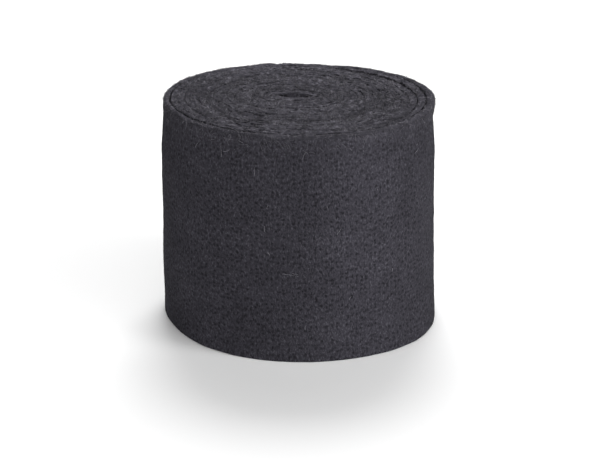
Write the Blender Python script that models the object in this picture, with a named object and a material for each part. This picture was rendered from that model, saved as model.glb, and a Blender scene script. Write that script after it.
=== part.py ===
# A roll of needled felt: one long strip, wound on itself and stood on its cut edge.
#
# The winding is one solid. Each end carries the spiral groove between a turn and the next, the
# side follows the spiral out to the loose end at the back, and the flat first fold leaves an eye.
# Metres, +Z up. The roll stands on z = 0 with its outline centred on the origin. Places along the
# strip are counted in turns wound, from 0 at the eye to TURNS at the loose end.

import math

import bmesh
import bpy
from mathutils import Vector

# The strip
STRIP_WIDTH = 0.100
FELT_COLOUR = (0.055, 0.053, 0.060, 1.0)
FELT_ROUGHNESS = 0.95

# The winding, counter-clockwise outwards when seen from above
TURNS = 17
WINDING_PITCH = 0.0034
CORE_RADIUS = -0.0006
TAIL_ANGLE = math.radians(103)
OUTER_RADIUS = CORE_RADIUS + WINDING_PITCH * (TURNS + 0.5)

# The first fold is a flat slit off the middle, and the turns round off as they go out
CORE_SLIT = 0.0070
SLIT_FADE = 2.0
CORE_OFFSET = (-0.0016, 0.0050)
OFFSET_FADE = 1.5

# The outermost turn has sprung off at the right of the back, and its end is pressed thin
LOOSE_GAP = 0.0017
LOOSE_ANGLE = math.radians(36)
LOOSE_TURNS = (TAIL_ANGLE - LOOSE_ANGLE) / math.tau
TAIL_PINCH = 0.0016
PINCH_TURNS = math.radians(55) / math.tau

# The turns drift sideways between the floor and the top
LEAN = -0.0019

# The outer side, from the floor up: share of the height, and radius against OUTER_RADIUS
SIDE_PROFILE = (
    (0.00, 1.039),
    (0.08, 1.034),
    (0.28, 1.031),
    (0.42, 1.025),
    (0.60, 1.022),
    (0.78, 1.020),
    (0.86, 1.010),
    (0.93, 1.001),
    (0.97, 1.005),
    (1.00, 1.006),
)

# The lower edge stands out a little at the right of the front
FOOT_FLARE = 0.0014
FOOT_ANGLE = math.radians(-33)
FOOT_SPREAD = math.radians(45)
FOOT_HEIGHT = 0.022

# The turns don't end level at the top: turns wound, and height against STRIP_WIDTH
TOP_LEVELS = (
    (0.0, -0.0006),
    (2.0, -0.0002),
    (4.5, -0.0009),
    (7.0, -0.0002),
    (10.5, -0.0010),
    (13.0, -0.0002),
    (15.0, -0.0006),
    (16.0, 0.0),
    (17.0, 0.0),
)

# Grooves between turns, and the rounded cut edge
GROOVE_WIDTH = 0.0010
GROOVE_DEPTH = 0.0022
LOOSE_GROOVE_DEPTH = 0.0040
EDGE_ROUND = 0.0008
EYE_DEPTH = 0.0100

# Mesh
STEPS_PER_TURN = 40
WELD_DISTANCE = 0.00002
SMOOTH_ANGLE = math.radians(35)


def clear_objects():
    for thing in list(bpy.data.objects):
        bpy.data.objects.remove(thing, do_unlink=True)


def read_table(table, place):
    """The value at a place, on straight lines between a table's rows of place and value."""
    for (low, low_value), (high, high_value) in zip(table, table[1:]):
        if place <= high:
            share = max(0.0, (place - low) / (high - low))
            return low_value + (high_value - low_value) * share
    return table[-1][1]


def bump(distance, reach):
    """One at no distance, falling smoothly to nothing at the reach."""
    share = min(1.0, abs(distance) / reach)
    return 0.5 + 0.5 * math.cos(math.pi * share)


def loose_share(turn):
    """How far the strip has sprung off the turn below it, from 0 to 1."""
    return bump(turn - (TURNS - LOOSE_TURNS), LOOSE_TURNS)


def seam(turn):
    """Radius and depth of the line between a turn and the next one, or of the outer side."""
    radius = CORE_RADIUS + WINDING_PITCH * turn
    if turn < TURNS:
        depth = GROOVE_DEPTH + (LOOSE_GROOVE_DEPTH - GROOVE_DEPTH) * loose_share(turn)
        return radius, depth
    sprung = LOOSE_GAP * loose_share(turn - 1)
    pressed = TAIL_PINCH * bump(TURNS + 1 - turn, PINCH_TURNS)
    return radius + sprung - pressed, EDGE_ROUND


def section(turn):
    """Radius and depth of four points across the strip's edge, from its inside to its outside."""
    inner, inner_depth = seam(turn)
    outer, outer_depth = seam(turn + 1)
    outer_round = EDGE_ROUND if turn + 1 >= TURNS else GROOVE_WIDTH / 2
    inner_round = GROOVE_WIDTH / 2 + LOOSE_GAP * loose_share(turn)
    return (
        (inner, inner_depth),
        (inner + inner_round, 0.0),
        (outer - outer_round, 0.0),
        (outer, outer_depth),
    )


def flare(angle, radius, height):
    """How far the foot of the roll stands out beyond its profile."""
    around = bump(math.remainder(angle - FOOT_ANGLE, math.tau), FOOT_SPREAD)
    upwards = bump(height, FOOT_HEIGHT)
    outwards = max(0.0, radius / OUTER_RADIUS) ** 4
    return FOOT_FLARE * around * upwards * outwards


def wound(turn, radius, height):
    """A point of the winding in space."""
    angle = TAIL_ANGLE + turn * math.tau
    inwards = max(0.0, 1.0 - radius / OUTER_RADIUS)
    swollen = radius * read_table(SIDE_PROFILE, height / STRIP_WIDTH) + flare(angle, radius, height)
    slit = CORE_SLIT * inwards ** SLIT_FADE
    shift = inwards ** OFFSET_FADE
    across = CORE_OFFSET[0] * shift + LEAN * height / STRIP_WIDTH
    along = CORE_OFFSET[1] * shift
    return Vector((across + (swollen + slit) * math.cos(angle), along + swollen * math.sin(angle), height))


def edge_point(turn, column, at_top):
    """A point of the strip's upper or lower edge. A seam lies midway between its two turns."""
    radius, depth = section(turn)[column]
    if not at_top:
        return wound(turn, radius, depth)
    level_turn = turn + {0: -0.5, 3: 0.5}.get(column, 0.0)
    return wound(turn, radius, STRIP_WIDTH + read_table(TOP_LEVELS, level_turn) - depth)


def upright_point(turn, column, row):
    """A point on the upright line between the two edges, at a row of SIDE_PROFILE."""
    radius = section(turn)[column][0]
    low = edge_point(turn, column, False).z
    high = edge_point(turn, column, True).z
    return wound(turn, radius, low + (high - low) * SIDE_PROFILE[row][0])


def lay_grid(mesh, steps, rows, place):
    """Add a grid of faces and put each of its points where place(step, row) says."""
    grid = bmesh.ops.create_grid(mesh, x_segments=steps, y_segments=rows, size=1.0)
    for vert in grid["verts"]:
        step = round((vert.co.x + 1) / 2 * steps)
        row = round((vert.co.y + 1) / 2 * rows)
        vert.co = place(step, row)


def sink_eye(mesh, top):
    """Carry the open edge round the eye into the roll, and close it there."""
    middle = STRIP_WIDTH / 2
    rim = [e for e in mesh.edges if e.is_boundary and (e.verts[0].co.z > middle) == top]
    walls = bmesh.ops.extrude_edge_only(mesh, edges=rim)["geom"]
    floor = [g for g in walls if isinstance(g, bmesh.types.BMVert)]
    for vert in floor:
        vert.co.z = STRIP_WIDTH - EYE_DEPTH if top else EYE_DEPTH
    bmesh.ops.holes_fill(mesh, edges=[g for g in walls if isinstance(g, bmesh.types.BMEdge)])


def build_winding():
    """The closed skin of the wound strip."""
    mesh = bmesh.new()
    steps = TURNS * STEPS_PER_TURN
    rows = len(SIDE_PROFILE) - 1
    for top in (True, False):
        lay_grid(mesh, steps, 3, lambda step, column: edge_point(step / STEPS_PER_TURN, column, top))
    last = TURNS - 1
    lay_grid(mesh, STEPS_PER_TURN, rows, lambda step, row: upright_point(last + step / STEPS_PER_TURN, 3, row))
    lay_grid(mesh, 3, rows, lambda column, row: upright_point(TURNS, column, row))
    bmesh.ops.remove_doubles(mesh, verts=mesh.verts, dist=WELD_DISTANCE)
    for top in (True, False):
        sink_eye(mesh, top)
    bmesh.ops.recalc_face_normals(mesh, faces=mesh.faces)
    return mesh


def centre_outline(mesh):
    """Put the middle of the outline, seen from above, on the origin."""
    for axis in (0, 1):
        places = [vert.co[axis] for vert in mesh.verts]
        middle = (min(places) + max(places)) / 2
        for vert in mesh.verts:
            vert.co[axis] -= middle


def felt():
    material = bpy.data.materials.new("felt")
    material.use_nodes = True
    shader = material.node_tree.nodes["Principled BSDF"]
    shader.inputs["Base Color"].default_value = FELT_COLOUR
    shader.inputs["Roughness"].default_value = FELT_ROUGHNESS
    shader.inputs["Metallic"].default_value = 0.0
    return material


def main():
    clear_objects()
    collection = bpy.data.collections.new("felt_roll_parts")
    bpy.context.scene.collection.children.link(collection)

    mesh = build_winding()
    centre_outline(mesh)
    data = bpy.data.meshes.new("felt_roll")
    mesh.to_mesh(data)
    mesh.free()
    data.materials.append(felt())
    data.shade_smooth()
    data.set_sharp_from_angle(angle=SMOOTH_ANGLE)
    collection.objects.link(bpy.data.objects.new("felt_roll", data))


main()
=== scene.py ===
import math

import bmesh
import bpy
import numpy as np
from mathutils import Matrix, Vector, noise


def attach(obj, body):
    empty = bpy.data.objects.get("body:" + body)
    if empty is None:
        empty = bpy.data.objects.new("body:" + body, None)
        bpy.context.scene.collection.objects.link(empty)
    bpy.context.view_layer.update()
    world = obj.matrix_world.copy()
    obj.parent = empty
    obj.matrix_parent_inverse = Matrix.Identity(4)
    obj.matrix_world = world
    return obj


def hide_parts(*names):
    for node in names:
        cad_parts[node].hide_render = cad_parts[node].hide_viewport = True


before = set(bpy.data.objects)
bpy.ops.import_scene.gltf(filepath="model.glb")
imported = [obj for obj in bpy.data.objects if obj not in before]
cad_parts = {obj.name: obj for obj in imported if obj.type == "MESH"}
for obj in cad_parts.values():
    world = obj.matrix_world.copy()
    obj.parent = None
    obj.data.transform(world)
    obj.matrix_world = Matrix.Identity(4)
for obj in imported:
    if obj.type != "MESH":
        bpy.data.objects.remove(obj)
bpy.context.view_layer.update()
print("frame loaded")

# A roll of needled felt, stood on its cut edge. The strip is made flat and then wound on itself.
# A place on the flat strip is its distance from the eye, its side (-1 inner face, 1 outer face)
# and its height above the floor. Turns are counted from 0 at the eye to 17 at the loose end, and
# bearings are in degrees, anticlockwise from the right.

mm = 0.001
tailBearing = 103  # where the loose end stops, at the back

winding = {  # the same values as the solid that the strip stands for
    "stripWidth": 0.100,
    "turns": 17,
    "pitch": 0.0034,
    "coreRadius": -0.0006,
    "tailAngle": math.radians(tailBearing),
    "coreSlit": 0.0070,
    "slitFade": 2.0,
    "coreOffset": (-0.0016, 0.0050),
    "offsetFade": 1.5,
    "looseGap": 0.0017,
    "looseAngle": math.radians(36),
    "tailPinch": 0.0016,
    "pinchAngle": math.radians(55),
    "lean": -0.0019,
    "footFlare": 0.0014,
    "footAngle": math.radians(-33),
    "footSpread": math.radians(45),
    "footHeight": 0.022,
    "profileHeights": (0.00, 0.08, 0.28, 0.42, 0.60, 0.78, 0.86, 0.93, 0.97, 1.00),
    "profileRadii": (1.039, 1.034, 1.031, 1.025, 1.022, 1.020, 1.010, 1.001, 1.005, 1.006),
    "levelTurns": (0.0, 2.0, 4.5, 7.0, 10.5, 13.0, 15.0, 16.0, 17.0),
    "levels": (-0.0006, -0.0002, -0.0009, -0.0002, -0.0010, -0.0002, -0.0006, 0.0, 0.0),
    "middle": (0.0012, 0.0003),  # where the solid's outline has its middle
    # small shifts outwards that the solid leaves out, in mm, at the foot and at the rim
    "footAngles": (-180, -158, -130, -90, -55, -30, -5, 40, 180),
    "footShifts": (-0.3, -1.6, -0.1, 0.3, 0.3, 0.9, 0.2, 0.0, -0.3),
    "lipAngles": (-180, -150, -110, -38, 12, 62, 130, 180),
    "lipShifts": (-0.5, -0.5, 0.0, 0.0, 0.7, 0.0, 0.0, -0.5),
    "lipHeight": 0.009,
    "looseShared": 0.6,        # how much of the loose gap opens one turn further in
}
outerRadius = winding["coreRadius"] + winding["pitch"] * (winding["turns"] + 0.5)
looseTurns = (winding["tailAngle"] - winding["looseAngle"]) / math.tau
pinchTurns = winding["pinchAngle"] / math.tau
lastFrom = winding["turns"] - 1  # the turn at which the last one begins

felt = {  # the cut strip
    "shutGap": 0.00003,        # gap between two turns where they press together
    "openGap": 0.00014,        # and where they stand off each other
    "openMean": 0.20,          # how far open the seams are on the whole, from 0 to 1, and how that varies
    "openSway": 1.1,
    "seamWander": 0.00028,     # how far a seam strays from the even spiral
    # the gap inside the last turn: bearings, counted on from the start of that turn, and mm
    "grooveAngles": (103, 150, 170, 190, 215, 240, 256, 268, 300, 318, 335, 350, 375, 395, 463),
    "grooveGaps": (0.15, 0.25, 0.5, 0.8, 1.2, 1.2, 0.9, 0.2, 0.2, 0.4, 0.5, 0.3, 0.1, 0.1, 0.1),
    "grooveSway": 0.5,
    # seams further in that gape: turn, reach in turns, and how much wider
    "openSeams": ((12.0, 0.07, 0.0006), (15.80, 0.05, 0.0008), (15.66, 0.05, 0.0002),
                  (15.356, 0.03, 0.0004), (1.6, 0.3, 0.0003), (2.82, 0.12, 0.0006)),
    "eyeTurns": (0.0, 0.12, 0.32, 0.48, 0.65, 0.72, 0.85, 1.0),
    "eyeOpenings": (2.0, 1.2, 0.1, 3.0, 1.5, 0.8, 0.4, 0.0),  # mm off the first turn's inner face
    "darkFrom": 0.0003,        # width from which a cleft begins to take painted shade
    "darkRun": 0.0010,
    "eyeDark": 0.0015,         # width that counts for each mm that the eye opens
    "faintSeams": 0.3,
    "brokenMean": 0.8,         # a cleft's painted shade comes and goes along the strip
    "brokenSway": 0.7,
    "brokenEnds": (0.25, 1.0),
    "cleftTurns": (1.0, 1.3),  # how dark the painted shade is on the faces inside the roll, and at the eye
    "cleftDepths": (1.0, 0.7),
    "leastDepth": 0.2,
    "eyeDeepTurns": (0.5, 0.9),
    "eyeDepths": (0.6, 0.0),
    "shutCrown": 0.00010,      # rounding of the cut edge where the turns press together
    "openCrown": 0.00055,      # and where they stand off each other
    "crownPower": 2.8,
    "rimCrown": 0.0012,        # the outermost turn's outer shoulder
    "rimPower": 2.0,
    "footCrown": 0.00030,
    "footLumps": 0.00015,
    # lumps of the cut edge: size along the strip and across it, height, seed
    "lumps": ((0.018, 0.0100, 0.0005, 1.3), (0.0065, 0.0032, 0.0005, 5.9),
              (0.0022, 0.0018, 0.0005, 7.7), (0.0011, 0.0011, 0.0003, 2.2)),
    "eyeLumpTurns": (0.0, 2.0),  # they are lower at the eye
    "eyeLumps": (0.3, 1.0),
    # and of the outer face: height, squeeze upwards, size, seed
    "relief": ((0.00022, 1.0, 0.024, 0.7), (0.00012, 1.0, 0.0075, 6.1), (0.00010, 0.7, 0.0021, 9.4)),
    "rimLumpAngles": (103, 180, 200, 340, 360, 463),
    "rimLumps": (0.25, 0.3, 0.7, 0.7, 0.4, 0.25),  # how lumpy the last turn's edge is against the rest
    "rimLiftAngles": (103, 180, 230, 300, 340, 370, 393, 405, 415, 425, 435, 463),
    "rimLifts": (0.0, 0.0, -0.25, -0.25, 0.1, 0.3, 0.25, 0.0, -0.05, -0.25, -0.55, -0.6),  # mm
    "endRound": 0.0016,        # rounding of the strip's two ends
    "endNarrow": 0.35,
    "rimFadeAngles": (-180, -120, -60, 60, 180),  # the rim's shoulder is smoother than the cut edge
    "rimFades": (0.6, 0.6, 0.45, 0.3, 0.6),
    "frayFrom": 0.0920,        # the outer face frays a little from this height up
    "frayRun": 0.0080,
    "frayWander": 0.0030,
    "frayShare": 0.4,
    "paintedLightAngles": (-160, -141, -113, -92, -82, -72, -60, -45, -20),  # painted light and shade round the last turn, by bearing
    "paintedLightShares": (-0.03, 0.02, -0.03, -0.14, -0.07, 0.09, 0.12, -0.03, -0.05),
    # patches of painted light and shade on the cut edge, dark ones in and round the eye: bearing, distance
    # from the eye mm, reach of each, shade
    "paintedLightPatches": ((-70, 20.5, 75, 4.0, 0.75), (-95, 7.0, 40, 3.5, 0.30), (-172, 16.0, 28, 2.5, 0.80),
                (90, 29.0, 50, 8.0, 0.60), (60, 26.0, 20, 5.0, 0.30), (100, 50.0, 60, 5.0, 0.35),
                (-75, 43.0, 40, 6.0, 0.35), (45, 9.0, 50, 3.5, -0.55), (80, 3.0, 35, 4.0, -0.60),
                (-165, 23.0, 28, 3.5, -0.45), (-125, 34.0, 60, 9.0, -0.15), (-40, 34.0, 30, 4.0, -0.40),
                (0, 38.0, 45, 8.0, -0.28), (-40, 52.0, 35, 2.5, -0.40), (175, 42.0, 45, 10.0, -0.20),
                (140, 13.0, 30, 3.0, -0.20)),
}

mesh = {  # how finely the strip is cut up
    "step": 0.0020,
    "faceRows": 3,
    "topRows": 8,
    "footRows": 4,
    "faceCuts": 18,
    "stepCuts": 1,
    "topCuts": 3,
}


def bump(distance, reach):  # one at no distance, falling smoothly to nothing at the reach
    return 0.5 + 0.5 * np.cos(np.pi * np.minimum(1.0, np.abs(distance) / reach))


def softNoise(across, along, size, seed):  # smooth lumps of about that size, within -1 to 1
    places = zip(np.broadcast_to(across, np.shape(along)) / size, along / size)
    return np.array([noise.noise((x, y, seed)) for x, y in places])


def runAt(turn):  # how far the winding has run, in pitches, so that noise has one size on all turns
    return turn * math.tau * turn


def lastShare(turn, run=0.02):  # 0 on the inner turns, 1 on the last one
    return np.clip((turn - lastFrom) / run, 0.0, 1.0)


def lastBearing(turn):  # the bearing on the last turn, counted on from the tail's
    return (turn - winding["turns"] + 1) * 360 + tailBearing


def looseShare(turn):  # how far the strip has sprung off the turn below it
    return bump(turn - (winding["turns"] - looseTurns), looseTurns)


def seamRadius(turn):  # the line between a turn and the next one, or the outer side
    sprung = winding["looseGap"] * looseShare(turn - 1)
    pressed = winding["tailPinch"] * bump(winding["turns"] + 1 - turn, pinchTurns)
    outside = turn >= winding["turns"]
    fade = np.clip(winding["turns"] - turn, 0.0, 1.0) * np.clip(turn, 0.0, 1.0)
    stray = felt["seamWander"] * softNoise(0.0, runAt(turn), 5.0, 3.1) * fade
    return winding["coreRadius"] + winding["pitch"] * turn + stray + np.where(outside, sprung - pressed, 0.0)


def openShare(turn):  # how far the turns stand off each other at a seam, from 0 to 1
    sway = softNoise(0.0, runAt(turn), 7.0, 8.7) + 0.5 * softNoise(0.0, runAt(turn), 2.4, 2.9)
    share = np.clip(felt["openMean"] + felt["openSway"] * sway, 0.0, 1.0)
    onLast = lastShare(turn, 0.03)
    return share * (1 - onLast) + onLast


def seamGap(turn):  # the gap across the seam at that turn
    gap = felt["shutGap"] + (felt["openGap"] - felt["shutGap"]) * openShare(turn)
    for middle, reach, extra in felt["openSeams"]:
        gap = gap + extra * bump(turn - middle, reach)
    groove = np.interp(lastBearing(turn), felt["grooveAngles"], felt["grooveGaps"]) * mm
    groove = groove * (1.0 + felt["grooveSway"] * softNoise(0.0, runAt(turn), 2.2, 4.1))
    onLast = lastShare(turn, 0.03)
    return gap * (1 - onLast) + groove * onLast


def stripSides(turn):  # radius of the strip's inner face and of its outer face
    inner = seamRadius(turn) + seamGap(turn) / 2 + winding["looseGap"] * looseShare(turn)
    covered = np.clip((lastFrom - turn) / 0.02, 0.0, 1.0)
    outer = seamRadius(turn + 1) - seamGap(turn + 1) / 2 * covered
    pulled = winding["looseGap"] * winding["looseShared"] * looseShare(turn + 1) * covered
    eye = mm * np.interp(turn, felt["eyeTurns"], felt["eyeOpenings"])
    return inner + pulled + eye, outer + pulled


def cleftShare(distance, side, shoulder):  # how far a place on the cut edge leans into an open seam, 0 to 1; it sets the painted shade there and shortens the fibres
    turn = turnAt(distance)
    seam = turn + (side > 0)
    inside = seam < winding["turns"]
    wide = seamGap(np.minimum(seam, winding["turns"])) * inside
    loose = winding["looseGap"] * inside
    wide = wide + loose * (1 - winding["looseShared"]) * looseShare(seam)
    wide = wide + loose * winding["looseShared"] * looseShare(seam + 1)
    wide = wide + felt["eyeDark"] * np.interp(turn, felt["eyeTurns"], felt["eyeOpenings"]) * (side < 0)
    leaning = np.clip((np.abs(side) - shoulder) / (1.0 - shoulder), 0.0, 1.0)
    faint = felt["faintSeams"] * openShare(seam) * (seam < lastFrom)
    broken = felt["brokenMean"] + felt["brokenSway"] * softNoise(0.0, distance, 0.0035, 8.8)
    broken = np.clip(broken, *felt["brokenEnds"])
    return np.clip((wide - felt["darkFrom"]) / felt["darkRun"] + faint, 0.0, 1.0) * leaning * broken


def paintedEdgeLight(distance, side):  # the painted light and shade on the cut edge at a place, lighter above 0 and darker below
    turn = turnAt(distance)
    away = (winding["coreRadius"] + winding["pitch"] * (turn + 0.5 + side / 2)) * 1000  # in mm
    shade = 0.0
    for bearing, middle, reachAround, reachAcross, amount in felt["paintedLightPatches"]:
        around = np.remainder(turn * 360 + tailBearing - bearing + 180, 360) - 180
        shade = shade + amount * bump(around, reachAround) * bump(away - middle, reachAcross)
    return shade


def windPoints(turn, radius, height):  # a point of the winding in space
    angle = winding["tailAngle"] + turn * math.tau
    inwards = np.maximum(0.0, 1.0 - radius / outerRadius)
    swell = np.interp(height / winding["stripWidth"], winding["profileHeights"], winding["profileRadii"])
    around = np.remainder(angle - winding["footAngle"] + math.pi, math.tau) - math.pi
    bearing = np.degrees(np.remainder(angle + math.pi, math.tau) - math.pi)
    flare = winding["footFlare"] * bump(around, winding["footSpread"])
    flare = flare + mm * np.interp(bearing, winding["footAngles"], winding["footShifts"])
    flare = flare * bump(height, winding["footHeight"])
    fromTop = winding["stripWidth"] - height
    lip = mm * np.interp(bearing, winding["lipAngles"], winding["lipShifts"])
    lip = lip * bump(fromTop, winding["lipHeight"])
    share = np.maximum(0.0, radius / outerRadius)
    swollen = radius * swell + flare * share ** 4 + lip * share ** 12
    slit = winding["coreSlit"] * inwards ** winding["slitFade"]
    shift = inwards ** winding["offsetFade"]
    across = winding["coreOffset"][0] * shift + winding["lean"] * height / winding["stripWidth"]
    x = across + (swollen + slit) * np.cos(angle) - winding["middle"][0]
    y = winding["coreOffset"][1] * shift + swollen * np.sin(angle) - winding["middle"][1]
    return np.stack((x, y, height), axis=-1)


# The strip's length, along its middle line
countedTurns = np.linspace(0.0, winding["turns"], 6001)
innerLine, outerLine = stripSides(countedTurns)
halfway = np.full(len(countedTurns), winding["stripWidth"] / 2)
middleLine = windPoints(countedTurns, (innerLine + outerLine) / 2, halfway)
between = np.linalg.norm(np.diff(middleLine, axis=0), axis=1)
countedLengths = np.concatenate(((0.0,), np.cumsum(between)))
stripLength = float(countedLengths[-1])
print(f"strip {stripLength:.3f} m long")


def turnAt(distance):
    return np.interp(distance, countedLengths, countedTurns)


def distanceAt(turn):
    return float(np.interp(turn, countedTurns, countedLengths))


def topHeight(distance, side):  # height of the cut edge, with its lumps and its rounded shoulders
    turn = turnAt(distance)
    level = np.interp(turn + side * 0.5, winding["levelTurns"], winding["levels"])
    across = side * winding["pitch"] / 2
    lumps = 0.0
    for size, thickness, amount, seed in felt["lumps"]:
        lumps = lumps + amount * softNoise(across * size / thickness, distance, size, seed)
    lumps = lumps * np.interp(turn, felt["eyeLumpTurns"], felt["eyeLumps"])
    onLast = lastShare(turn)
    bearing = lastBearing(turn)
    rimLumps = np.interp(bearing, felt["rimLumpAngles"], felt["rimLumps"])
    lumps = lumps * (1.0 - onLast + onLast * rimLumps)
    lumps = lumps + mm * np.interp(bearing, felt["rimLiftAngles"], felt["rimLifts"]) * onLast
    apart = openShare(turn + np.where(side > 0, 1.0, 0.0))
    crown = felt["shutCrown"] + (felt["openCrown"] - felt["shutCrown"]) * apart
    atRim = onLast * (side > 0)
    crown = crown + (felt["rimCrown"] - crown) * atRim
    power = felt["crownPower"] + (felt["rimPower"] - felt["crownPower"]) * atRim
    shoulder = 1.0 - (1.0 - np.abs(side) ** power) ** (1 / power)
    return winding["stripWidth"] + level + lumps - crown * shoulder


def footHeight(distance, side):  # the same at the floor, pressed flat by the roll's weight
    shoulder = 1.0 - (1.0 - np.abs(side) ** felt["crownPower"]) ** (1 / felt["crownPower"])
    lumps = np.maximum(0.0, softNoise(side * winding["pitch"] / 2, distance, 0.006, 4.4))
    return felt["footLumps"] * lumps + felt["footCrown"] * shoulder


def faceRelief(distance, height):  # how far the outer face stands out or in
    relief = 0.0
    for amount, squeeze, size, seed in felt["relief"]:
        relief = relief + amount * softNoise(height * squeeze, distance, size, seed)
    return relief


def windStrip(distance, side, height):  # bends places on the flat strip round the roll
    turn = turnAt(distance)
    inner, outer = stripSides(turn)
    toEnd = np.clip(np.minimum(distance, stripLength - distance) / felt["endRound"], 0.0, 1.0)
    rounding = np.sqrt(np.clip(1.0 - (1.0 - toEnd) ** 2, 0.0, 1.0))
    narrow = felt["endNarrow"] + (1.0 - felt["endNarrow"]) * rounding
    radius = (inner + outer) / 2 + (outer - inner) / 2 * side * narrow
    bare = lastShare(turn) * np.clip(side, 0.0, 1.0)
    radius = radius + faceRelief(distance, height) * bare
    return windPoints(turn, radius, height)


def activate(obj):
    bpy.ops.object.select_all(action="DESELECT")
    obj.select_set(True)
    bpy.context.view_layer.objects.active = obj


def selectEdges(obj, wanted):  # selects in edit mode the edges that wanted(end, end) says
    form = bmesh.from_edit_mesh(obj.data)
    for edge in form.edges:
        edge.select_set(wanted(edge.verts[0].co, edge.verts[1].co))
    form.select_flush_mode()
    bmesh.update_edit_mesh(obj.data)


def sectionRows():  # up the outer face, over the top edge, down the inner face and under the foot
    faceRows, topRows, footRows = mesh["faceRows"], mesh["topRows"], mesh["footRows"]
    rows = [(1.0, share) for share in np.linspace(0.0, 1.0, faceRows + 1)]
    rows += [(math.cos(math.pi * n / topRows), 0.0) for n in range(1, topRows)]
    rows += [(-1.0, share) for share in np.linspace(1.0, 0.0, faceRows + 1)]
    rows += [(-math.cos(math.pi * n / footRows), 0.0) for n in range(1, footRows)]
    rows.append((1.0, 0.0))
    return np.array(rows).T


sides, shares = sectionRows()
lastRow = len(sides) - 1
topRow = mesh["faceRows"] + mesh["topRows"] / 2
footRow = 2 * mesh["faceRows"] + mesh["topRows"] + mesh["footRows"] / 2

bpy.ops.object.select_all(action="DESELECT")
steps = round(stripLength / mesh["step"])
bpy.ops.mesh.primitive_grid_add(x_subdivisions=steps, y_subdivisions=lastRow, size=1.0, calc_uvs=True)
strip = bpy.context.object
strip.name = "feltStrip"
strip.data.name = "feltStrip"

# The flat grid is one wide and one high. The last turn's outer face is cut finer, and so is the top edge
nudge = 1e-4
lastColumn = distanceAt(winding["turns"] - 1.02) / stripLength - 0.5
faceTop = mesh["faceRows"] / lastRow - 0.5
edgeTop = (mesh["faceRows"] + mesh["topRows"]) / lastRow - 0.5


def risesOnFace(a, b):
    return abs(a.x - b.x) < 1e-6 and min(a.x, b.x) > lastColumn and max(a.y, b.y) < faceTop + nudge


def runsOnFace(a, b):
    return abs(a.y - b.y) < 1e-6 and min(a.x, b.x) > lastColumn and a.y < faceTop - nudge


def runsOnTop(a, b):
    return abs(a.y - b.y) < 1e-6 and faceTop - nudge < a.y < edgeTop + nudge


bpy.ops.object.mode_set(mode="EDIT")
bpy.ops.mesh.select_mode(type="EDGE")
for wanted, cuts in ((risesOnFace, "faceCuts"), (runsOnFace, "stepCuts"), (runsOnTop, "topCuts")):
    selectEdges(strip, wanted)
    bpy.ops.mesh.subdivide(number_cuts=mesh[cuts])
bpy.ops.object.mode_set(mode="OBJECT")

# Flat places, read from the grid
count = len(strip.data.vertices)
flat = np.zeros(count * 3, np.float32)
strip.data.vertices.foreach_get("co", flat)
flat = flat.reshape(-1, 3).astype(float)
endColumns = np.array((0.0003, 0.0009, 0.0020))  # finer columns, to round the strip's ends
columnPlaces = np.linspace(0.0, stripLength, steps + 1)
columnPlaces[1:4] = endColumns
columnPlaces[-4:-1] = stripLength - endColumns[::-1]
rowNumbers = np.arange(lastRow + 1)
distance = np.interp((flat[:, 0] + 0.5) * steps, np.arange(steps + 1), columnPlaces)
rowPlace = np.clip((flat[:, 1] + 0.5) * lastRow, 0, lastRow)
side = np.interp(rowPlace, rowNumbers, sides)
share = np.interp(rowPlace, rowNumbers, shares)
lowEdge = footHeight(distance, side)
highEdge = topHeight(distance, side)
onTop = np.abs(rowPlace - topRow) < mesh["topRows"] / 2 - 1e-3
underFoot = np.abs(rowPlace - footRow) < mesh["footRows"] / 2 - 1e-3
height = np.where(onTop, highEdge, np.where(underFoot, lowEdge, lowEdge + (highEdge - lowEdge) * share))
placed = windStrip(distance, side, height)
strip.data.vertices.foreach_set("co", placed.astype(np.float32).ravel())

# The map holds metres along the strip and metres round its section, counted up the outer face
arc = np.concatenate(((0.0,), np.cumsum(np.hypot(np.diff(sides) * winding["pitch"] / 2,
                                                 np.diff(shares) * winding["stripWidth"]))))
uvLayer = strip.data.uv_layers.active
uvs = np.zeros(len(uvLayer.data) * 2, np.float32)
uvLayer.data.foreach_get("uv", uvs)
uvs = uvs.reshape(-1, 2)
uvs[:, 0] = np.interp(uvs[:, 0] * steps, np.arange(steps + 1), columnPlaces)
uvs[:, 1] = np.interp(uvs[:, 1] * lastRow, rowNumbers, arc)
uvLayer.data.foreach_set("uv", uvs.ravel())
uvLayer.name = "metres"


def storeShare(name, values):  # one number at each point, for the material
    attribute = strip.data.attributes.new(name, "FLOAT", "POINT")
    attribute.data.foreach_set("value", values.astype(np.float32))


turn = turnAt(distance)
onLast = turn > lastFrom
bearing = np.degrees(np.arctan2(placed[:, 1], placed[:, 0]))

# How far the look of the cut edge shows: all over it, less on the rim's shoulder, and a little below the rim
rimFade = onLast * np.clip((side + 0.3) / 1.1, 0.0, 1.0)
rimFade = rimFade * np.interp(bearing, felt["rimFadeAngles"], felt["rimFades"])
frayHeight = height + felt["frayWander"] * softNoise(0.0, distance, 0.003, 6.6)
frayed = np.clip((frayHeight - felt["frayFrom"]) / felt["frayRun"], 0.0, 1.0)
storeShare("cutEdge", np.where(onTop | underFoot, 1.0 - rimFade, felt["frayShare"] * frayed))

# Painted shade in the clefts: on the shoulders that lean into them, and on the faces inside
covered = 1.0 - onLast * (side > 0)
darkest = np.interp(turn, felt["cleftTurns"], felt["cleftDepths"])
paintedInnerShade = covered * np.maximum(felt["leastDepth"], darkest * cleftShare(distance, side, 0.0))
paintedInnerShade = np.maximum(paintedInnerShade, np.interp(turn, felt["eyeDeepTurns"], felt["eyeDepths"]))
storeShare("paintedCleftShade", np.where(onTop, cleftShare(distance, side, 0.55), paintedInnerShade))

# Painted light and shade: patches on top, and a drift by bearing round the last turn's outer face
paintedSideLight = np.interp(bearing, felt["paintedLightAngles"], felt["paintedLightShares"]) * onLast * np.clip(side, 0.0, 1.0)
storeShare("paintedLightAndShade", np.where(onTop, paintedEdgeLight(distance, side), paintedSideLight))

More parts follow.
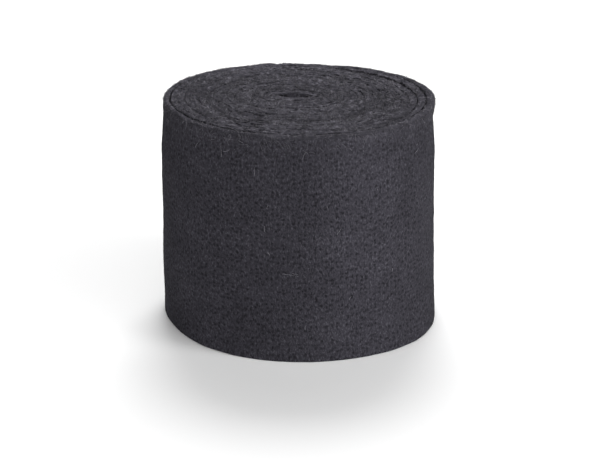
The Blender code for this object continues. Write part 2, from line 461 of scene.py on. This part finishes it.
activate(strip)
bpy.ops.object.mode_set(mode="EDIT")
bpy.ops.mesh.select_mode(type="VERT")
bpy.ops.mesh.select_all(action="SELECT")
bpy.ops.mesh.remove_doubles(threshold=0.000005)
bpy.ops.mesh.select_all(action="DESELECT")
bpy.ops.mesh.select_non_manifold(extend=False, use_wire=False, use_boundary=True,
                                 use_multi_face=False, use_non_contiguous=False, use_verts=False)
bpy.ops.mesh.fill_holes(sides=0)
bpy.ops.mesh.select_all(action="SELECT")
bpy.ops.mesh.normals_make_consistent(inside=False)
bpy.ops.object.mode_set(mode="OBJECT")
bpy.ops.object.shade_smooth_by_angle(angle=math.radians(60))
strip.data.calc_loop_triangles()
print("strip wound:", len(strip.data.loop_triangles), "triangles")


# Materials
def newMaterial(name):
    material = bpy.data.materials.new(name)
    material.use_nodes = True
    tree = material.node_tree
    return material, tree, tree.nodes["Principled BSDF"]


def addNode(tree, kind, **settings):
    node = tree.nodes.new(kind)
    for name, value in settings.items():
        setattr(node, name, value)
    return node


def readAttribute(tree, name):
    return addNode(tree, "ShaderNodeAttribute", attribute_name=name).outputs["Fac"]


def noiseNode(tree, vector, scale, detail, roughness):
    node = addNode(tree, "ShaderNodeTexNoise")
    tree.links.new(vector, node.inputs["Vector"])
    node.inputs["Scale"].default_value = scale
    node.inputs["Detail"].default_value = detail
    node.inputs["Roughness"].default_value = roughness
    return node.outputs["Fac"]


def stretched(tree, vector, scale):
    node = addNode(tree, "ShaderNodeMapping", vector_type="POINT")
    tree.links.new(vector, node.inputs["Vector"])
    node.inputs["Scale"].default_value = scale
    return node.outputs["Vector"]


def ranged(tree, value, low, high, toLow, toHigh):
    node = addNode(tree, "ShaderNodeMapRange", clamp=True, interpolation_type="SMOOTHSTEP")
    tree.links.new(value, node.inputs["Value"])
    for socket, number in zip(("From Min", "From Max", "To Min", "To Max"), (low, high, toLow, toHigh)):
        node.inputs[socket].default_value = number
    return node.outputs["Result"]


def maths(tree, operation, first, second):
    node = addNode(tree, "ShaderNodeMath", operation=operation)
    for socket, value in zip(node.inputs, (first, second)):
        if isinstance(value, (int, float)):
            socket.default_value = value
        else:
            tree.links.new(value, socket)
    return node.outputs["Value"]


def mixed(tree, factor, first, second):
    node = addNode(tree, "ShaderNodeMix", data_type="RGBA")
    for socket, value in zip(("Factor", "A", "B"), (factor, first, second)):
        if isinstance(value, tuple):
            node.inputs[socket].default_value = value
        else:
            tree.links.new(value, node.inputs[socket])
    return node.outputs["Result"]


feltLook = {
    "base": (0.0326, 0.0310, 0.0383, 1.0),
    "hole": (0.0066, 0.0062, 0.0077, 1.0),
    # painted shade for the clefts between the turns and for the eye
    "paintedCleftShade": (0.0040, 0.0038, 0.0047, 1.0),
    "fleck": (0.078, 0.0748, 0.0891, 1.0),
    "edgeBase": (0.0510, 0.0488, 0.0590, 1.0),
    "edgeHole": (0.0110, 0.0106, 0.0130, 1.0),
    "edgeFleck": (0.185, 0.1776, 0.2072, 1.0),
    "roughness": 0.95,
    "specular": 0.05,
    "holePitch": 0.0022,       # needle holes, in rough rows
    "holeSqueeze": 1.12,
    "holeRandomness": 0.8,
    "holeStray": 0.0011,
    "holeStrayScale": 700.0,
    "holeReach": (0.10, 0.50),  # share of the pitch, from full depth out to none
    "holeDepths": (0.1, 0.8),
    "holeShare": 0.6,
    # how far the painted cleft shade takes over the colour
    "cleftShare": 0.85,
    # patterns: scale, detail, roughness, and the tone added where each is darkest and lightest
    "streak": ((1150.0, 600.0, 1.0), 2.0, 0.7, -0.9, 0.85),
    "thread": ((2300.0, 900.0, 1.0), 1.0, 0.5, -0.5, 0.5),
    "ring": ((60.0, 620.0, 1.0), 2.0, 0.6, -0.5, 0.5),
    "tuft": (900.0, 2.0, 0.6, -0.6, 0.6),
    "clump": (300.0, 1.0, 0.5, -0.4, 0.4),
    "grain": (1500.0, 2.0, 0.6, -0.3, 0.3),
    "cloud": (60.0, 2.0, 0.5, -0.2, 0.2),
    "patternEnds": (0.3, 0.7),
    "toneReach": 2.0,          # tone at which the colour is all fleck or all hole
    "bumpStrength": 0.8,
    "bumpDistance": 0.00025,
    "bumpTone": 0.5,
    "bumpHole": 0.7,
}


def pattern(tree, where, name):  # one of feltLook's patterns, as a tone about zero
    scale, detail, roughness, darkest, lightest = feltLook[name]
    if isinstance(scale, tuple):
        where = stretched(tree, where, scale)
        scale = 1.0
    waves = noiseNode(tree, where, scale, detail, roughness)
    return ranged(tree, waves, *feltLook["patternEnds"], darkest, lightest)


def needleHoles(tree, uv):  # 1 in the middle of a hole, 0 between holes
    stray = addNode(tree, "ShaderNodeTexNoise")
    tree.links.new(uv, stray.inputs["Vector"])
    stray.inputs["Scale"].default_value = feltLook["holeStrayScale"]
    moved = addNode(tree, "ShaderNodeVectorMath", operation="MULTIPLY_ADD")
    tree.links.new(stray.outputs["Color"], moved.inputs[0])
    moved.inputs[1].default_value = (feltLook["holeStray"], feltLook["holeStray"], 0.0)
    tree.links.new(uv, moved.inputs[2])
    scale = 1.0 / feltLook["holePitch"]
    inRows = stretched(tree, moved.outputs["Vector"], (scale, scale * feltLook["holeSqueeze"], 1.0))
    cells = addNode(tree, "ShaderNodeTexVoronoi", voronoi_dimensions="2D", feature="F1")
    tree.links.new(inRows, cells.inputs["Vector"])
    cells.inputs["Scale"].default_value = 1.0
    cells.inputs["Randomness"].default_value = feltLook["holeRandomness"]
    present = addNode(tree, "ShaderNodeSeparateColor")
    tree.links.new(cells.outputs["Color"], present.inputs["Color"])
    depth = ranged(tree, present.outputs["Red"], *feltLook["holeDepths"], 0.0, 1.0)
    near = ranged(tree, cells.outputs["Distance"], *feltLook["holeReach"], 1.0, 0.0)
    return maths(tree, "MULTIPLY", near, depth)


def feltMaterial():
    material, tree, shader = newMaterial("needledFelt")
    uv = addNode(tree, "ShaderNodeUVMap", uv_map="metres").outputs["UV"]
    place = addNode(tree, "ShaderNodeTexCoord").outputs["Object"]
    edge = readAttribute(tree, "cutEdge")
    hole = maths(tree, "MULTIPLY", needleHoles(tree, uv), ranged(tree, edge, 0.0, 1.0, 1.0, 0.0))

    # Upright streaks on the faces, tangled tufts on the cut edge, grain and clouds everywhere
    onFace = maths(tree, "ADD", pattern(tree, uv, "streak"), pattern(tree, uv, "thread"))
    onEdge = maths(tree, "ADD", pattern(tree, place, "tuft"), pattern(tree, place, "clump"))
    onEdge = maths(tree, "ADD", onEdge, pattern(tree, uv, "ring"))
    blend = addNode(tree, "ShaderNodeMix", data_type="FLOAT")
    tree.links.new(edge, blend.inputs["Factor"])
    tree.links.new(onFace, blend.inputs["A"])
    tree.links.new(onEdge, blend.inputs["B"])
    tone = maths(tree, "ADD", blend.outputs["Result"], pattern(tree, place, "grain"))
    tone = maths(tree, "ADD", tone, pattern(tree, place, "cloud"))

    light = ranged(tree, tone, 0.0, feltLook["toneReach"], 0.0, 1.0)
    dark = ranged(tree, tone, -feltLook["toneReach"], 0.0, 1.0, 0.0)
    mean = mixed(tree, edge, feltLook["base"], feltLook["edgeBase"])
    fleck = mixed(tree, edge, feltLook["fleck"], feltLook["edgeFleck"])
    shade = mixed(tree, edge, feltLook["hole"], feltLook["edgeHole"])
    colour = mixed(tree, light, mean, fleck)
    colour = mixed(tree, dark, colour, shade)
    inHole = maths(tree, "MULTIPLY", hole, feltLook["holeShare"])
    colour = mixed(tree, inHole, colour, feltLook["hole"])
    # painted shade in the open seams, on the faces inside the roll and in the eye
    inCleft = maths(tree, "MULTIPLY", readAttribute(tree, "paintedCleftShade"), feltLook["cleftShare"])
    colour = mixed(tree, inCleft, colour, feltLook["paintedCleftShade"])
    # the colour is made lighter or darker by the painted light and shade
    paintedLitColour = addNode(tree, "ShaderNodeVectorMath", operation="SCALE")
    tree.links.new(colour, paintedLitColour.inputs[0])
    tree.links.new(maths(tree, "ADD", readAttribute(tree, "paintedLightAndShade"), 1.0), paintedLitColour.inputs["Scale"])
    tree.links.new(paintedLitColour.outputs["Vector"], shader.inputs["Base Color"])

    raised = maths(tree, "MULTIPLY", tone, feltLook["bumpTone"])
    relief = maths(tree, "SUBTRACT", raised, maths(tree, "MULTIPLY", hole, feltLook["bumpHole"]))
    bumpNode = addNode(tree, "ShaderNodeBump")
    bumpNode.inputs["Strength"].default_value = feltLook["bumpStrength"]
    bumpNode.inputs["Distance"].default_value = feltLook["bumpDistance"]
    tree.links.new(relief, bumpNode.inputs["Height"])
    tree.links.new(bumpNode.outputs["Normal"], shader.inputs["Normal"])

    shader.inputs["Roughness"].default_value = feltLook["roughness"]
    shader.inputs["Specular IOR Level"].default_value = feltLook["specular"]
    return material


strip.data.materials.append(feltMaterial())


# Loose fibres: each is a thin three-sided thread with a fine tip, many to a piece
fibreLook = {
    "dark": (0.016, 0.0155, 0.0185, 1.0),
    "light": (0.26, 0.25, 0.28, 1.0),
    "roughness": 0.8,
    "specular": 0.2,
    "taper": 0.75,
}


def fibreMaterial():
    material, tree, shader = newMaterial("looseFibre")
    colour = mixed(tree, readAttribute(tree, "tone"), fibreLook["dark"], fibreLook["light"])
    tree.links.new(colour, shader.inputs["Base Color"])
    shader.inputs["Roughness"].default_value = fibreLook["roughness"]
    shader.inputs["Specular IOR Level"].default_value = fibreLook["specular"]
    return material


def unit(vectors):
    return vectors / np.maximum(np.linalg.norm(vectors, axis=-1, keepdims=True), 1e-12)


def makeFibres(name, roots, headings, bends, lengths, radii, tones, stations=5):
    # Each fibre runs from its root along its heading and curves over towards its bend
    number = len(roots)
    along = np.linspace(0.0, 1.0, stations)
    path = (roots[:, None] + headings[:, None] * (lengths[:, None] * along)[:, :, None]
            + bends[:, None] * (lengths[:, None] * along ** 2)[:, :, None])
    tangents = unit(np.gradient(path, axis=1))
    askew = np.array((0.31, 0.52, 0.79))  # no fibre runs just this way
    first = unit(np.cross(tangents, askew))
    second = np.cross(tangents, first)
    thick = radii[:, None] * (1.0 - fibreLook["taper"] * along ** 2)
    corners = []
    for corner in range(3):
        turnBy = math.tau * corner / 3
        corners.append(path + (first * math.cos(turnBy) + second * math.sin(turnBy)) * thick[:, :, None])
    points = np.stack(corners, axis=2).reshape(-1, 3)
    base = np.arange(number)[:, None] * stations * 3
    faces = []
    for station in range(stations - 1):
        for corner in range(3):
            here = base + station * 3 + corner
            beside = base + station * 3 + (corner + 1) % 3
            faces.append(np.concatenate((here, beside, beside + 3, here + 3), axis=1))
    quads = np.concatenate(faces).tolist()
    firstEnd = base + np.array((2, 1, 0))
    lastEnd = base + (stations - 1) * 3 + np.array((0, 1, 2))
    ends = np.concatenate((firstEnd, lastEnd)).tolist()
    points[:, 2] = np.maximum(points[:, 2], 0.0)
    data = bpy.data.meshes.new(name)
    data.from_pydata(points.tolist(), [], quads + ends)
    shade = data.attributes.new("tone", "FLOAT", "POINT")
    shade.data.foreach_set("value", np.repeat(tones, stations * 3).astype(np.float32))
    data.shade_smooth()
    obj = bpy.data.objects.new(name, data)
    bpy.context.scene.collection.objects.link(obj)
    return obj


def localFrame(points):  # outwards and along the turn, level, at points of the roll
    outwards = unit(points * np.array((1.0, 1.0, 0.0)))
    onwards = np.stack((-outwards[:, 1], outwards[:, 0], outwards[:, 2]), axis=-1)
    return outwards, onwards, np.array((0.0, 0.0, 1.0))


edgeFibres = {  # what all the fibres of the cut edge share
    "fromEnds": 0.002,
    "sunk": 0.0001,
    "shorterInClefts": 0.5,
    "eyeTurns": (0.0, 0.7, 1.2, 2.0),  # they are shorter round the eye, so that it stays open
    "eyeShares": (0.15, 0.2, 0.6, 1.0),
}


def edgePlaces(rng, number):  # even over the top: roots, each fibre's share of length and its share of tone from the painted light and shade patches, axes
    distance = rng.uniform(edgeFibres["fromEnds"], stripLength - edgeFibres["fromEnds"], number)
    side = rng.uniform(-1.0, 1.0, number)
    roots = windStrip(distance, side, topHeight(distance, side) - edgeFibres["sunk"])
    clear = 1.0 - edgeFibres["shorterInClefts"] * cleftShare(distance, side, 0.0)
    clear = clear * np.interp(turnAt(distance), edgeFibres["eyeTurns"], edgeFibres["eyeShares"])
    return (roots, clear, 1.0 + paintedEdgeLight(distance, side), *localFrame(roots))


def drawTones(rng, tone, number):  # mostly dark fibres with a few light ones
    shape, scale = tone
    return rng.gamma(shape, scale, number)


edgeFuzz = {
    "number": 6000,
    "rise": (0.1, 1.5),        # how steeply a fibre leaves the edge, before it bends down again
    "curl": 0.4,
    "lengths": (0.0014, 0.0046),
    "radii": (0.000024, 0.000060),
    "tone": (0.55, 0.56),
}


def topFuzz(name, seed):  # fibres lying over the cut edge and across its grooves
    rng = np.random.default_rng(seed)
    number = edgeFuzz["number"]
    roots, clear, shade, outwards, onwards, up = edgePlaces(rng, number)
    heading = rng.uniform(0.0, math.tau, number)
    rise = rng.uniform(*edgeFuzz["rise"], number)[:, None]
    headings = unit(outwards * np.cos(heading)[:, None] + onwards * np.sin(heading)[:, None] + up * rise)
    bends = rng.normal(0.0, edgeFuzz["curl"], (number, 3)) - up * rise
    lengths = rng.uniform(*edgeFuzz["lengths"], number) * clear
    radii = rng.uniform(*edgeFuzz["radii"], number)
    tones = np.clip(drawTones(rng, edgeFuzz["tone"], number) * shade, 0.0, 1.0)
    return makeFibres(name, roots, headings, bends, lengths, radii, tones)


edgeTufts = {
    "number": 2100,
    "perTuft": 6,
    "eyePlace": (-0.0042, 0.0045),
    "reaches": (0.003, 0.008, 0.052, 0.056),  # distances from the eye, and the tufts' heights there in mm
    "heights": (0.2, 1.5, 1.5, 0.8),
    "heightDraw": (0.5, 1.0),
    "rearFrom": (0.03, 0.05),  # they are lower towards the back
    "rearShares": (1.0, 0.5),
    "lean": 0.6,
    "width": 0.00035,
    "fray": 0.45,
    "curl": 0.35,
    "lengthDraw": (0.6, 1.3),
    "radii": (0.000030, 0.000065),
    "tone": (1.1, 0.24),
    "brightest": 0.9,
    "toneDraw": (0.5, 1.4),
}


def tufts(name, seed):  # short locks standing up from the cut edge
    rng = np.random.default_rng(seed)
    number, perTuft = edgeTufts["number"], edgeTufts["perTuft"]
    roots, clear, shade, outwards, onwards, up = edgePlaces(rng, number)
    lean = unit(rng.normal(0.0, edgeTufts["lean"], (number, 3)) * np.array((1.0, 1.0, 0.0)) + up)
    tone = np.clip(drawTones(rng, edgeTufts["tone"], number) * shade, 0.0, edgeTufts["brightest"])
    outFrom = np.linalg.norm(roots[:, :2] - np.array(edgeTufts["eyePlace"]), axis=1)
    tall = rng.uniform(*edgeTufts["heightDraw"], number)
    tall = tall * np.interp(outFrom, edgeTufts["reaches"], edgeTufts["heights"])
    tall = tall * mm * clear * np.interp(roots[:, 1], edgeTufts["rearFrom"], edgeTufts["rearShares"])
    total = number * perTuft
    spread = rng.normal(0.0, edgeTufts["width"], (total, 3)) * np.array((1.0, 1.0, 0.2))
    headings = unit(np.repeat(lean, perTuft, axis=0) + rng.normal(0.0, edgeTufts["fray"], (total, 3)))
    headings[:, 2] = np.abs(headings[:, 2])
    bends = rng.normal(0.0, edgeTufts["curl"], (total, 3))
    lengths = np.repeat(tall, perTuft) * rng.uniform(*edgeTufts["lengthDraw"], total)
    radii = rng.uniform(*edgeTufts["radii"], total)
    tones = np.clip(np.repeat(tone, perTuft) * rng.uniform(*edgeTufts["toneDraw"], total), 0.0, 1.0)
    roots = np.repeat(roots, perTuft, axis=0) + spread
    return makeFibres(name, roots, headings, bends, lengths, radii, tones, stations=3)


faceFibres = {
    "number": 5000,
    "fromEdges": (0.0015, 0.001),  # above the floor, and below the rim and before the loose end
    "stand": (0.0, 0.16),      # how far a fibre stands off, before it lies down
    "settle": 1.1,
    "curl": 0.25,
    "lengths": (0.0008, 0.0030),
    "radii": (0.000016, 0.000034),
    "tone": (0.7, 0.10),
}


def sideFuzz(name, seed):  # fibres lying on the outer face
    rng = np.random.default_rng(seed)
    number = faceFibres["number"]
    fromFloor, fromEnd = faceFibres["fromEdges"]
    distance = rng.uniform(distanceAt(lastFrom), stripLength - fromEnd, number)
    height = rng.uniform(fromFloor, winding["stripWidth"] - fromEnd, number)
    roots = windStrip(distance, np.ones(number), height)
    outwards, onwards, up = localFrame(roots)
    heading = rng.uniform(0.0, math.tau, number)
    stand = rng.uniform(*faceFibres["stand"], number)[:, None]
    headings = unit(onwards * np.cos(heading)[:, None] + up * np.sin(heading)[:, None] + outwards * stand)
    bends = rng.normal(0.0, faceFibres["curl"], (number, 3))
    offFace = np.sum(bends * outwards, axis=1, keepdims=True)
    bends = bends - outwards * (offFace + stand * faceFibres["settle"])
    lengths = rng.uniform(*faceFibres["lengths"], number)
    radii = rng.uniform(*faceFibres["radii"], number)
    tones = np.clip(drawTones(rng, faceFibres["tone"], number), 0.0, 1.0)
    return makeFibres(name, roots, headings, bends, lengths, radii, tones, stations=4)


strays = {  # long light fibres, laid one by one
    # on the side: bearing, height mm, length mm, slope
    "onSide": ((-73, 57.0, 3.2, 62), (-77, 69.0, 2.0, 80), (-101, 68.2, 2.2, 84), (-102, 58.2, 3.0, 100),
               (-100, 48.0, 2.6, 120), (-95, 40.0, 7.0, 2), (-91, 40.4, 3.0, -8), (-32, 85.0, 4.0, 22),
               (-120, 90.5, 4.5, 8), (-121, 88.0, 4.0, 84), (-117, 96.0, 3.0, 70), (-113, 96.4, 4.0, -20),
               (-135, 89.2, 4.0, 60), (-30, 88.0, 2.2, 30), (-106, 82.5, 2.6, 95), (-86, 15.0, 2.5, 100),
               (-68, 27.2, 2.4, 75), (-55, 74.0, 2.6, 105), (-47, 36.0, 2.4, 80)),
    # on top: bearing, distance from the middle mm, length mm, heading
    "onTop": ((-60, 46.5, 6.0, 5), (-44, 40.0, 5.0, 12), (-174, 15.5, 3.0, 20), (-170, 16.5, 2.5, 100),
              (-102, 16.5, 3.0, 60), (-92, 32.6, 3.0, 20), (-49, 31.6, 4.0, 170), (-26, 43.0, 4.5, 90),
              (-68, 9.4, 3.0, 10), (-64, 15.5, 3.5, 160), (-111, 57.0, 3.5, 30), (-121, 54.0, 4.0, 170),
              (-44, 56.5, 3.0, 20), (-40, 58.0, 3.0, 110), (-80, 47.0, 4.0, 15), (-97, 44.0, 4.0, 140),
              (-66, 26.0, 4.0, 40), (150, 40.0, 3.0, 10), (60, 30.0, 3.0, 170), (175, 33.0, 3.0, 60)),
    "offFace": 0.0001,
    "leanOut": 0.1,
    "topLevel": 100.4,         # mm above the floor
    "topRise": 0.25,
    "curl": 0.18,
    "settle": 0.1,
    "radius": 0.000055,
    "tone": 1.0,
}


def strayFibres(name, seed):
    rng = np.random.default_rng(seed)
    bearing, height, length, slope = np.array(strays["onSide"], float).T
    turn = lastFrom + np.remainder(bearing - tailBearing, 360) / 360
    roots = windPoints(turn, stripSides(turn)[1] + strays["offFace"], height * mm)
    outwards, onwards, up = localFrame(roots)
    lean = np.radians(slope)[:, None]
    headings = onwards * np.cos(lean) + up * np.sin(lean) + outwards * strays["leanOut"]
    topBearing, reach, topLength, heading = np.array(strays["onTop"], float).T
    around = np.radians(topBearing)
    topLevels = np.full(len(reach), strays["topLevel"])
    topRoots = np.stack((np.cos(around) * reach, np.sin(around) * reach, topLevels), axis=-1) * mm
    turned = np.radians(heading)
    topHeadings = np.stack((np.cos(turned), np.sin(turned), np.full(len(reach), strays["topRise"])), axis=-1)
    roots = np.concatenate((roots, topRoots))
    headings = unit(np.concatenate((headings, topHeadings)))
    lengths = np.concatenate((length, topLength)) * mm
    number = len(lengths)
    bends = rng.normal(0.0, strays["curl"], (number, 3))
    settle = np.where(np.arange(number) < len(length), strays["settle"], 0.0)[:, None]
    bends = bends - settle * unit(roots * np.array((1.0, 1.0, 0.0)))
    radii = np.full(number, strays["radius"])
    tones = np.full(number, strays["tone"])
    return makeFibres(name, roots, headings, bends, lengths, radii, tones, stations=8)


rimFibres = {
    "number": 4800,
    "fromEnd": 0.001,
    "reach": 1.6,              # how far in over the edge they grow, from the outer face
    "drop": (0.0002, 0.007),   # and how far down the outer face
    "faceFrom": 0.9,
    "outwards": (0.0, 0.4),
    "swerve": 1.1,
    "rise": (-0.1, 0.6),
    "curl": 0.3,
    "droop": (0.5, 1.5),
    "bendIn": 0.1,
    "lengths": (0.0008, 0.0036),
    "shortFrom": (0.04, 0.06),  # they are shorter at the left and the right
    "shortShares": (1.0, 0.5),
    "radii": (0.000024, 0.000062),
    "tone": (0.8, 0.32),
}


def rimFuzz(name, seed):  # fibres drooping over the shoulder of the outermost turn
    rng = np.random.default_rng(seed)
    number = rimFibres["number"]
    distance = rng.uniform(distanceAt(lastFrom), stripLength - rimFibres["fromEnd"], number)
    side = 1.0 - rng.uniform(0.0, 1.0, number) ** 2 * rimFibres["reach"]
    least, most = rimFibres["drop"]
    drop = least + most * rng.uniform(0.0, 1.0, number) ** 1.5 * (side > rimFibres["faceFrom"])
    roots = windStrip(distance, side, topHeight(distance, side) - drop)
    outwards, onwards, up = localFrame(roots)
    swerve = rng.normal(0.0, rimFibres["swerve"], number)[:, None]
    headings = unit(outwards * rng.uniform(*rimFibres["outwards"], number)[:, None] + onwards * swerve
                    + up * rng.uniform(*rimFibres["rise"], number)[:, None])
    bends = rng.normal(0.0, rimFibres["curl"], (number, 3))
    bends = bends - up * rng.uniform(*rimFibres["droop"], number)[:, None] - outwards * rimFibres["bendIn"]
    lengths = rng.uniform(*rimFibres["lengths"], number)
    lengths = lengths * np.interp(np.abs(roots[:, 0]), rimFibres["shortFrom"], rimFibres["shortShares"])
    radii = rng.uniform(*rimFibres["radii"], number)
    tones = np.clip(drawTones(rng, rimFibres["tone"], number), 0.0, 1.0)
    return makeFibres(name, roots, headings, bends, lengths, radii, tones, stations=4)


fuzz = [topFuzz("edgeFuzz", 11), tufts("edgeTufts", 13), tufts("edgeTuftsMore", 17),
        rimFuzz("rimFuzz", 19), sideFuzz("sideFuzz", 12), strayFibres("strayFibres", 23)]
fibreFinish = fibreMaterial()
for piece in fuzz:
    piece.data.materials.append(fibreFinish)
print("fibres laid:", sum(len(piece.data.polygons) for piece in fuzz), "faces")


# What each piece is
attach(strip, "root")
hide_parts("felt_roll")
for piece in fuzz:
    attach(piece, "root")

# Floor, lights and camera
studio = {
    "floorSize": 8.0,
    "floorColour": (0.985, 0.985, 0.985, 1.0),
    "floorRoughness": 0.9,
    "domeStrength": 1.734,
    "domeFacing": (0.0, -1.0, 0.0),
    "lampAim": (0.0, 0.0, 0.05),
    "lamps": {  # place, width and power
        "keyLight": ((1.178, -0.549, 0.45), 0.6, 11.0),
        "fillLight": ((0.919, -0.919, 0.45), 0.6, 2.9),
        "lightBehind": ((0.0, 0.6, 0.9), 0.5, 8.0),
        "wideLightBehind": ((0.0, 0.6, 0.9), 1.0, 2.6),
    },
    "lens": 110.1,
    "sensorWidth": 36.0,
    "clip": (0.02, 20.0),
    "cameraPlace": (-0.00007, -0.7764, 0.3199),
    "cameraTilt": 69.86,
    "cameraRoll": 0.92,
}

bpy.ops.object.select_all(action="DESELECT")
bpy.ops.mesh.primitive_plane_add(size=studio["floorSize"], location=(0.0, 0.0, 0.0))
floor = bpy.context.object
floor.name = "floor"
floorMaterial, _, floorShader = newMaterial("floorWhite")
floorShader.inputs["Base Color"].default_value = studio["floorColour"]
floorShader.inputs["Roughness"].default_value = studio["floorRoughness"]
floor.data.materials.append(floorMaterial)

world = bpy.data.worlds.new("studio")
world.use_nodes = True
sky = world.node_tree.nodes["Background"]
sky.inputs["Color"].default_value = (1.0, 1.0, 1.0, 1.0)
skyWay = addNode(world.node_tree, "ShaderNodeTexCoord").outputs["Generated"]
facing = addNode(world.node_tree, "ShaderNodeVectorMath", operation="DOT_PRODUCT")
facing.inputs[1].default_value = Vector(studio["domeFacing"]).normalized()
world.node_tree.links.new(skyWay, facing.inputs[0])
glow = maths(world.node_tree, "MAXIMUM", facing.outputs["Value"], 0.0)
glow = maths(world.node_tree, "MULTIPLY", glow, studio["domeStrength"])
world.node_tree.links.new(glow, sky.inputs["Strength"])
bpy.context.scene.world = world


def softbox(name, place, size, power):  # a round lamp, turned to the roll
    bpy.ops.object.light_add(type="AREA", location=place)
    lamp = bpy.context.object
    lamp.name = name
    lamp.data.shape = "DISK"
    lamp.data.size = size
    lamp.data.energy = power
    away = Vector(place) - Vector(studio["lampAim"])
    lamp.rotation_euler = away.to_track_quat("Z", "Y").to_euler()


for name, (place, size, power) in studio["lamps"].items():
    softbox(name, place, size, power)

bpy.ops.object.camera_add(location=studio["cameraPlace"])
camera = bpy.context.object
turned = Matrix.Rotation(math.radians(studio["cameraTilt"]), 3, "X") @ Matrix.Rotation(
    math.radians(studio["cameraRoll"]), 3, "Z")
camera.rotation_euler = turned.to_euler()
camera.data.lens = studio["lens"]
camera.data.sensor_width = studio["sensorWidth"]
camera.data.clip_start, camera.data.clip_end = studio["clip"]
bpy.context.scene.camera = camera
bpy.context.scene.view_settings.view_transform = "Standard"
print("studio set")
